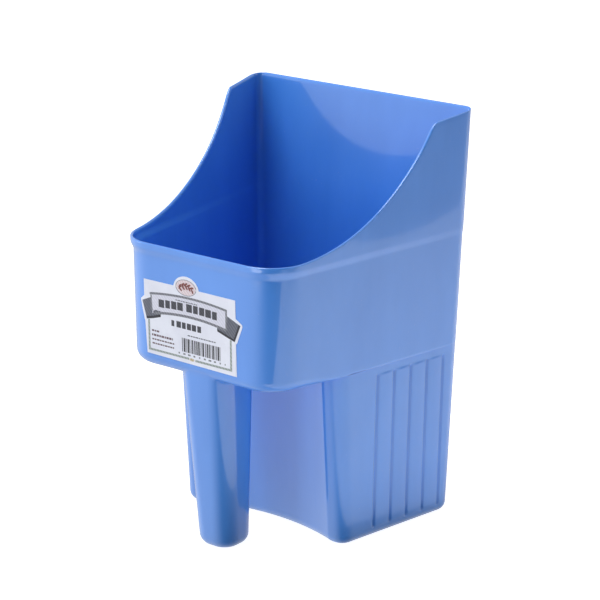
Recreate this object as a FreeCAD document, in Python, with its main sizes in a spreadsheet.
"""Feed scoop: an open-fronted tub over a narrower well, with a hollow grip under the front.

The scoop is one thin-walled injection moulding with a paper label stuck to its front wall. The
moulding is given as three sections that meet face to face at the step line: the hopper above it,
and the well and the handle below it. Each section is an outer form less its hollow.

Frame: +Z up, label and handle face -Y, origin under the middle of the bounding box. Millimetres.
"""

import FreeCAD, Part
import math
import os

import Sketcher

PARTS_FOLDER = "parts"
NODES = ("hopper", "well", "handle", "front_label")

# Driving dimensions in millimetres. A slope is millimetres across per millimetre along.
DRIVING = {
    "overall_height": 260.0,      # top edge of the back wall
    "step_height": 112.0,         # where the wide tub meets the narrow well
    "root_height": 122.0,         # the well and the handle run on this far inside the tub's round
    "wall": 2.2,
    "slanted_wall": 2.23,         # the same wall measured along X, where a side slants in plan
    "side_draft": 0.022,          # slope at which the sides lean out, going up
    "back_foot": 74.0,            # Y of the back wall at the base
    "back_top": 82.6,             # Y of the back wall at its top edge
    "back_radius": 9.5,
    "plan_middle": 17.4,          # Y at which the half widths are stated
    "well_half_width": 69.65,
    "well_taper": 0.169,          # slope at which the well widens, going back
    "well_front_foot": -20.2,
    "well_front_top": -27.5,
    "well_front_radius": 10.0,
    "base_fillet": 5.5,
    "recess_radius": 140.0,       # the finger recess in the well's front wall
    "recess_foot": -10.1,         # Y of its deepest line at the base
    "recess_top": -17.4,          # and at the step
    "tub_half_width": 72.9,
    "tub_taper": 0.156,
    "tub_front": -80.3,           # Y of the front wall at the step
    "tub_front_radius": 23.5,
    "tub_fillet": 7.0,            # the round edge under the tub
    "front_draft": 0.0118,
    "ledge_level": 181.5,         # the wall steps out here, all round
    "ledge_front": 1.38,          # how far it steps out at the front
    "ledge_back": 0.3,            # and at the back corners
    "rim_front": 190.0,           # height of the front rim
    "rim_flat_end": -67.4,        # Y where the side rims start to climb
    "rim_sweep": 129.0,           # radius of the climbing curve
    "rim_shoulder": 8.0,          # radius where it turns back to level
    "rim_back_angle": 6.0,        # degrees, from the shoulder to the back wall
    "cutter_reach": 110.0,        # the rim cutter runs this far past the origin each way
    "cutter_top": 300.0,
    "handle_half_foot": 13.95,
    "handle_half_top": 18.0,
    "handle_middle_foot": -57.4,
    "handle_middle_top": -61.6,
    "handle_radius": 12.0,
    "handle_fillet": 6.5,
    "groove_first": 5.0,          # Y of the groove nearest the front
    "groove_pitch": 13.75,
    "groove_radius": 1.3,
    "groove_depth": 0.9,
    "groove_low": 9.0,
    "groove_high": 107.0,
    "label_thickness": 0.15,
    "label_left": -41.0,
    "label_width": 71.5,
    "label_low": 121.0,
    "label_height": 46.0,
    "emblem_middle": -7.5,        # X of the round top of the label
    "emblem_level": 165.3,
    "emblem_radius": 9.0,
    "tail_low": 141.5,            # the ends of the label's banner stand past its edges
    "tail_height": 10.5,
    "tail_reach": 2.8,
}
GROOVE_COUNT = 5

# Where the outer surfaces are at height LEVEL, as formulas in the sheet's aliases.
BACK = "(dims.back_foot + (dims.back_top - dims.back_foot) * (LEVEL) / dims.overall_height)"
WELL_FRONT = (
    "(dims.well_front_foot + (dims.well_front_top - dims.well_front_foot)"
    " * (LEVEL) / dims.step_height)"
)
WELL_HALF = "(dims.well_half_width + dims.side_draft * (LEVEL) + dims.well_taper * (PLACE - dims.plan_middle))"
RECESS = "(dims.recess_foot + (dims.recess_top - dims.recess_foot) * (LEVEL) / dims.step_height)"
TUB_FRONT = "(dims.tub_front - dims.front_draft * ((LEVEL) - dims.step_height))"
TUB_HALF = (
    "(dims.tub_half_width + dims.side_draft * ((LEVEL) - dims.step_height)"
    " + dims.tub_taper * (PLACE - dims.plan_middle))"
)
HANDLE_HALF = (
    "(dims.handle_half_foot + (dims.handle_half_top - dims.handle_half_foot)"
    " * (LEVEL) / dims.step_height)"
)
HANDLE_MIDDLE = (
    "(dims.handle_middle_foot + (dims.handle_middle_top - dims.handle_middle_foot)"
    " * (LEVEL) / dims.step_height)"
)


def at(formula, level, place="0"):
    """One of the formulas above, at a height and, for the half widths, at a Y."""
    return formula.replace("LEVEL", level).replace("PLACE", place)


def make_sheet(doc):
    """The spreadsheet that every size is bound to."""
    sheet = doc.addObject("Spreadsheet::Sheet", "dims")
    for row, (alias, value) in enumerate(DRIVING.items(), start=1):
        sheet.set(f"A{row}", alias)
        sheet.set(f"B{row}", str(value))
        sheet.setAlias(f"B{row}", alias)
    doc.recompute()
    return sheet


def value(formula):
    """What a formula comes to now, to draw a sketch near where its bound dimensions will hold it."""
    sheet = FreeCAD.ActiveDocument.getObject("dims")
    return float(sheet.evalExpression(formula.replace("dims.", "")))


def point(x, y):
    """A sketch point."""
    return FreeCAD.Vector(x, y, 0)


def arc(x, y, radius, start, end):
    """A sketch arc, counter-clockwise between two angles in radians."""
    circle = Part.Circle(point(x, y), FreeCAD.Vector(0, 0, 1), radius)
    return Part.ArcOfCircle(circle, start, end)


def new_sketch(body, name, role, level="0"):
    """An empty sketch on one of the body's own origin planes, raised by the formula level."""
    sketch = body.newObject("Sketcher::SketchObject", name)
    plane = next(f for f in body.Origin.OriginFeatures if f.Role == role)
    sketch.AttachmentSupport = [(plane, "")]
    sketch.MapMode = "FlatFace"
    sketch.setExpression("AttachmentOffset.Base.z", f"({level}) * 1 mm")
    return sketch


def bind(sketch, formula, kind, *places):
    """A length dimension in a sketch, tied to a formula."""
    index = sketch.addConstraint(Sketcher.Constraint(kind, *places, value(formula)))
    sketch.setExpression(f"Constraints[{index}]", f"({formula}) * 1 mm")


def trapezoid(body, name, level, front, back, front_half, back_half):
    """An outline symmetric about the YZ plane. front and back are the Y of its two straight ends."""
    sketch = new_sketch(body, name, "XY_Plane", level)
    front_y, back_y = value(front), value(back)
    wide_front, wide_back = value(front_half), value(back_half)
    corners = [
        point(-wide_front, front_y), point(wide_front, front_y),
        point(wide_back, back_y), point(-wide_back, back_y),
    ]
    sketch.addGeometry([Part.LineSegment(corners[n], corners[(n + 1) % 4]) for n in range(4)])
    for edge in range(4):
        sketch.addConstraint(Sketcher.Constraint("Coincident", edge, 2, (edge + 1) % 4, 1))
    for end in (0, 2):
        sketch.addConstraint(Sketcher.Constraint("Symmetric", end, 1, end, 2, -2))
    bind(sketch, front_half, "DistanceX", -1, 1, 0, 2)
    bind(sketch, front, "DistanceY", -1, 1, 0, 2)
    bind(sketch, back_half, "DistanceX", -1, 1, 2, 1)
    bind(sketch, back, "DistanceY", -1, 1, 2, 1)
    return sketch


def loft(body, kind, sketches):
    """A ruled loft through the sketches: AdditiveLoft or SubtractiveLoft."""
    feature = body.newObject(f"PartDesign::{kind}", f"{body.Name}_{kind.lower()}")
    feature.Profile = sketches[-1]
    feature.Sections = sketches[-2::-1]
    feature.Ruled = True
    return feature


def round_edges(doc, body, base, word, radius, chosen):
    """Rounds those edges of the body's last feature for which chosen says yes, given their box."""
    doc.recompute()
    edges = [
        f"Edge{number}"
        for number, edge in enumerate(base.Shape.Edges, start=1)
        if chosen(edge.BoundBox)
    ]
    fillet = body.newObject("PartDesign::Fillet", f"{body.Name}_{word}")
    fillet.Base = (base, edges)
    fillet.setExpression("Radius", f"({radius}) * 1 mm")
    return fillet


def upright(box):
    """Whether an edge runs up the body rather than along its outline."""
    return box.ZLength > max(box.XLength, box.YLength)


def frustum(doc, body, sketches, front_radius, back_radius):
    """A loft between two outlines with its four upright edges rounded."""
    solid = loft(body, "AdditiveLoft", sketches)
    split = value("dims.plan_middle") if value(front_radius) != value(back_radius) else math.inf
    rounded = round_edges(
        doc, body, solid, "front_round", front_radius, lambda box: upright(box) and box.YMin < split,
    )
    if split == math.inf:
        return rounded
    return round_edges(
        doc, body, rounded, "back_round", back_radius,
        lambda box: upright(box) and box.YMax > split and box.XLength * box.YLength < box.ZLength,
    )


def round_bottom(doc, body, base, radius, level):
    """Rounds the edges round the lowest face."""
    height = value(level) + 0.01
    return round_edges(doc, body, base, "bottom_round", radius, lambda box: box.ZMax < height)


def new_body(doc, name):
    """An empty PartDesign body."""
    return doc.addObject("PartDesign::Body", name)


def well_form(doc, name, inset, slanted_inset, floor):
    """The well's outer form, or its hollow when inset is a wall thickness, with the finger recess."""
    body = new_body(doc, name)
    sections = []
    for number, level in enumerate((floor, "dims.root_height")):
        front = f"{at(WELL_FRONT, level)} + {inset}"
        back = f"{at(BACK, level)} - {inset}"
        sections.append(trapezoid(
            body, f"{name}_outline_{number}", level, front, back,
            f"{at(WELL_HALF, level, front)} - {slanted_inset}",
            f"{at(WELL_HALF, level, back)} - {slanted_inset}",
        ))
    frustum(doc, body, sections, f"dims.well_front_radius - {inset}", f"dims.back_radius - {inset}")
    recesses = []
    for number, level in enumerate((floor, "dims.root_height")):
        recess = new_sketch(body, f"{name}_recess_{number}", "XY_Plane", level)
        radius = f"dims.recess_radius + {inset}"
        middle = f"{at(RECESS, level)} - dims.recess_radius"
        recess.addGeometry(Part.Circle(point(0, value(middle)), FreeCAD.Vector(0, 0, 1), value(radius)))
        recess.addConstraint(Sketcher.Constraint("PointOnObject", 0, 3, -2))
        bind(recess, radius, "Radius", 0)
        bind(recess, middle, "DistanceY", -1, 1, 0, 3)
        recesses.append(recess)
    cut = loft(body, "SubtractiveLoft", recesses)
    round_bottom(doc, body, cut, f"dims.base_fillet - {inset}", floor)
    return body


def tub_form(doc, name, inset, slanted_inset, low, high, above_ledge):
    """The tub's outer form over one stretch of its height, or its hollow when inset is a wall."""
    body = new_body(doc, name)
    step_front = "dims.ledge_front" if above_ledge else "0"
    step_back = "dims.ledge_back" if above_ledge else "0"
    sections = []
    for number, level in enumerate((low, high)):
        front = f"{at(TUB_FRONT, level)} - {step_front} + {inset}"
        back = f"{at(BACK, level)} - {inset}"
        sections.append(trapezoid(
            body, f"{name}_outline_{number}", level, front, back,
            f"{at(TUB_HALF, level, at(TUB_FRONT, level))} + {step_front} - {slanted_inset}",
            f"{at(TUB_HALF, level, back)} + {step_back} - {slanted_inset}",
        ))
    solid = frustum(doc, body, sections, f"dims.tub_front_radius - {inset}", f"dims.back_radius - {inset}")
    if not above_ledge:
        round_bottom(doc, body, solid, f"dims.tub_fillet - {inset}", low)
    return body


def handle_form(doc, name, inset, floor):
    """The grip's outer form, or its hollow when inset is a wall thickness."""
    body = new_body(doc, name)
    sections = []
    for number, level in enumerate((floor, "dims.root_height")):
        half = f"{at(HANDLE_HALF, level)} - {inset}"
        middle = at(HANDLE_MIDDLE, level)
        sections.append(trapezoid(
            body, f"{name}_outline_{number}", level, f"{middle} - ({half})", f"{middle} + ({half})", half, half,
        ))
    radius = f"dims.handle_radius - {inset}"
    solid = frustum(doc, body, sections, radius, radius)
    round_bottom(doc, body, solid, f"dims.handle_fillet - {inset}", floor)
    return body


def rim_cutter(doc):
    """Everything above the rim line: level at the front, climbing in one sweep, then nearly level."""
    body = new_body(doc, "rim_cutter")
    sketch = new_sketch(body, "rim_line", "YZ_Plane")
    reach, top = value("dims.cutter_reach"), value("dims.cutter_top")
    rim, flat_end = value("dims.rim_front"), value("dims.rim_flat_end")
    sweep, shoulder = value("dims.rim_sweep"), value("dims.rim_shoulder")
    angle = math.radians(value("dims.rim_back_angle"))
    back_end = f"dims.overall_height + (dims.cutter_reach - dims.back_top) * tan(dims.rim_back_angle)"
    end_height = value("dims.overall_height") + (reach - value("dims.back_top")) * math.tan(angle)
    turn_y = 50.0
    turn_z = end_height - (reach - turn_y) * math.tan(angle) - shoulder / math.cos(angle)
    away = math.atan2(turn_z - rim - sweep, turn_y - flat_end)
    meet = point(flat_end + sweep * math.cos(away), rim + sweep + sweep * math.sin(away))
    level_start = point(turn_y - shoulder * math.sin(angle), turn_z + shoulder * math.cos(angle))
    sketch.addGeometry([
        Part.LineSegment(point(-reach, rim), point(flat_end, rim)),
        arc(flat_end, rim + sweep, sweep, -math.pi / 2, away),
        arc(turn_y, turn_z, shoulder, math.pi / 2 + angle, math.pi + away),
        Part.LineSegment(level_start, point(reach, end_height)),
        Part.LineSegment(point(reach, end_height), point(reach, top)),
        Part.LineSegment(point(reach, top), point(-reach, top)),
        Part.LineSegment(point(-reach, top), point(-reach, rim)),
    ])
    sketch.addConstraint(Sketcher.Constraint("Tangent", 0, 2, 1, 1))
    sketch.addConstraint(Sketcher.Constraint("Tangent", 1, 2, 2, 2))
    sketch.addConstraint(Sketcher.Constraint("Tangent", 2, 1, 3, 1))
    for edge, following in ((3, 4), (4, 5), (5, 6), (6, 0)):
        sketch.addConstraint(Sketcher.Constraint("Coincident", edge, 2, following, 1))
    for kind, edge in (("Horizontal", 0), ("Vertical", 4), ("Horizontal", 5), ("Vertical", 6)):
        sketch.addConstraint(Sketcher.Constraint(kind, edge))
    bind(sketch, "dims.rim_sweep", "Radius", 1)
    bind(sketch, "dims.rim_shoulder", "Radius", 2)
    bind(sketch, "-dims.cutter_reach", "DistanceX", -1, 1, 0, 1)
    bind(sketch, "dims.rim_front", "DistanceY", -1, 1, 0, 1)
    bind(sketch, "dims.rim_flat_end", "DistanceX", -1, 1, 0, 2)
    bind(sketch, "dims.cutter_reach", "DistanceX", -1, 1, 3, 2)
    bind(sketch, back_end, "DistanceY", -1, 1, 3, 2)
    bind(sketch, "dims.cutter_top", "DistanceY", -1, 1, 4, 2)
    slope = sketch.addConstraint(Sketcher.Constraint("Angle", 3, angle))
    sketch.setExpression(f"Constraints[{slope}]", "dims.rim_back_angle * 1 deg")
    pad = body.newObject("PartDesign::Pad", "rim_cut")
    pad.Profile = sketch
    pad.Midplane = True
    pad.setExpression("Length", "2 * dims.cutter_reach * 1 mm")
    return body


def block(doc, name, low, size):
    """A Part::Box with its low corner and its size given as three formulas each."""
    box = doc.addObject("Part::Box", name)
    for letter, formula in zip("xyz", low):
        box.setExpression(f"Placement.Base.{letter}", f"({formula}) * 1 mm")
    for side, formula in zip(("Length", "Width", "Height"), size):
        box.setExpression(side, f"({formula}) * 1 mm")
    return box


def combine(doc, name, kind, *pieces):
    """A boolean: Part::Cut of two pieces, or Part::MultiFuse or Part::MultiCommon of any number."""
    feature = doc.addObject(f"Part::{kind}", name)
    if kind == "Cut":
        feature.Base, feature.Tool = pieces
    else:
        feature.Shapes = list(pieces)
    return feature


def grooves(doc):
    """Round-bottomed grooves that run up both sides of the well, following its draft."""
    cutters = []
    for side, word in ((1, "right"), (-1, "left")):
        for number in range(GROOVE_COUNT):
            cutter = doc.addObject("Part::Cylinder", f"groove_{word}_{number + 1}")
            place = f"(dims.groove_first + {number} * dims.groove_pitch)"
            across = f"({at(WELL_HALF, 'dims.groove_low', place)} + dims.groove_radius - dims.groove_depth)"
            cutter.setExpression("Placement.Base.x", f"{side} * {across} * 1 mm")
            cutter.setExpression("Placement.Base.y", f"{place} * 1 mm")
            cutter.setExpression("Placement.Base.z", "dims.groove_low * 1 mm")
            cutter.setExpression("Radius", "dims.groove_radius * 1 mm")
            cutter.setExpression("Height", "(dims.groove_high - dims.groove_low) * 1 mm")
            cutter.Placement.Rotation.Axis = FreeCAD.Vector(0, 1, 0)
            cutter.setExpression("Placement.Rotation.Angle", f"{side} * atan(dims.side_draft)")
            cutters.append(cutter)
    return combine(doc, "grooves", "MultiFuse", *cutters)


def label_outline(doc):
    """The label's outline as a block through the front wall: a sheet, a round top and banner ends."""
    deep = ("dims.tub_front * 1.1", "-dims.tub_front * 0.4")
    sheet = block(
        doc, "label_sheet", ("dims.label_left", deep[0], "dims.label_low"),
        ("dims.label_width", deep[1], "dims.label_height"),
    )
    tails = block(
        doc, "label_tails", ("dims.label_left - dims.tail_reach", deep[0], "dims.tail_low"),
        ("dims.label_width + 2 * dims.tail_reach", deep[1], "dims.tail_height"),
    )
    top = doc.addObject("Part::Cylinder", "label_round_top")
    top.setExpression("Radius", "dims.emblem_radius * 1 mm")
    top.setExpression("Height", f"({deep[1]}) * 1 mm")
    top.Placement.Rotation = FreeCAD.Rotation(FreeCAD.Vector(1, 0, 0), -90)
    for letter, formula in zip("xyz", ("dims.emblem_middle", deep[0], "dims.emblem_level")):
        top.setExpression(f"Placement.Base.{letter}", f"({formula}) * 1 mm")
    return combine(doc, "label_outline", "MultiFuse", sheet, tails, top)


def build(doc):
    """Makes every object of the document and returns the four sub-parts by name."""
    make_sheet(doc)
    floor = "dims.wall"
    tub_floor = "(dims.step_height + dims.wall)"
    above_all = "(dims.overall_height + dims.wall)"
    ledge = "dims.ledge_level"
    inner_ledge = "(dims.ledge_level + dims.wall)"
    well_outer = well_form(doc, "well_outer", "0", "0", "0")
    well_hollow = well_form(doc, "well_hollow", "dims.wall", "dims.slanted_wall", floor)
    handle_outer = handle_form(doc, "handle_outer", "0", "0")
    handle_hollow = handle_form(doc, "handle_hollow", "dims.wall", floor)
    tub_outer = tub_form(doc, "tub_outer", "0", "0", "dims.step_height", ledge, False)
    band_outer = tub_form(doc, "band_outer", "0", "0", ledge, "dims.overall_height", True)
    walls = ("dims.wall", "dims.slanted_wall")
    tub_hollow = tub_form(doc, "tub_hollow", *walls, tub_floor, inner_ledge, False)
    band_hollow = tub_form(doc, "band_hollow", *walls, inner_ledge, above_all, True)
    paper = "-dims.label_thickness"
    label_face = tub_form(doc, "label_face", paper, paper, "dims.step_height", ledge, False)
    across = ("-dims.cutter_reach", "-dims.cutter_reach")
    wide = ("2 * dims.cutter_reach", "2 * dims.cutter_reach")
    below = block(doc, "below_step", (*across, "0"), (*wide, "dims.step_height"))
    above = block(doc, "above_step", (*across, "dims.step_height"), (*wide, "dims.cutter_top"))

    outer = combine(doc, "outer", "MultiFuse", tub_outer, band_outer, well_outer, handle_outer)
    upper = combine(doc, "upper", "MultiCommon", outer, above)
    inside = combine(
        doc, "inside", "MultiFuse", tub_hollow, band_hollow, well_hollow, handle_hollow, rim_cutter(doc),
    )
    hopper = combine(doc, "hopper_section", "Cut", upper, inside)

    well_lower = combine(doc, "well_lower", "MultiCommon", well_outer, below)
    well_open = combine(doc, "well_open", "Cut", well_lower, well_hollow)
    well = combine(doc, "well_section", "Cut", well_open, grooves(doc))

    handle_lower = combine(doc, "handle_lower", "MultiCommon", handle_outer, below)
    handle = combine(doc, "handle_section", "Cut", handle_lower, handle_hollow)

    paper_skin = combine(doc, "paper_skin", "Cut", label_face, tub_outer)
    label = combine(doc, "label_section", "MultiCommon", paper_skin, label_outline(doc))

    subparts = dict(zip(NODES, (hopper, well, handle, label)))
    for name, feature in subparts.items():
        feature.Label = name
    doc.recompute()
    return subparts


def check(doc, subparts):
    """Stops if any object failed, or a sub-part isn't one valid solid."""
    for item in doc.Objects:
        if "Invalid" in item.State or "Error" in item.State:
            raise RuntimeError(f"{item.Name} failed: {item.State}")
    for name, feature in subparts.items():
        shape = feature.Shape
        if shape.isNull() or not shape.isValid() or len(shape.Solids) != 1:
            raise RuntimeError(f"{name} isn't one valid solid")
        print(f"{name}: {len(shape.Faces)} faces, {shape.Volume:.0f} mm3")


def main():
    """Builds the document, checks it and writes one STEP file for each sub-part."""
    doc = FreeCAD.newDocument("feed_scoop")
    subparts = build(doc)
    check(doc, subparts)
    os.makedirs(PARTS_FOLDER, exist_ok=True)
    for name, feature in subparts.items():
        feature.Shape.exportStep(os.path.join(PARTS_FOLDER, f"{name}.step"))


main()
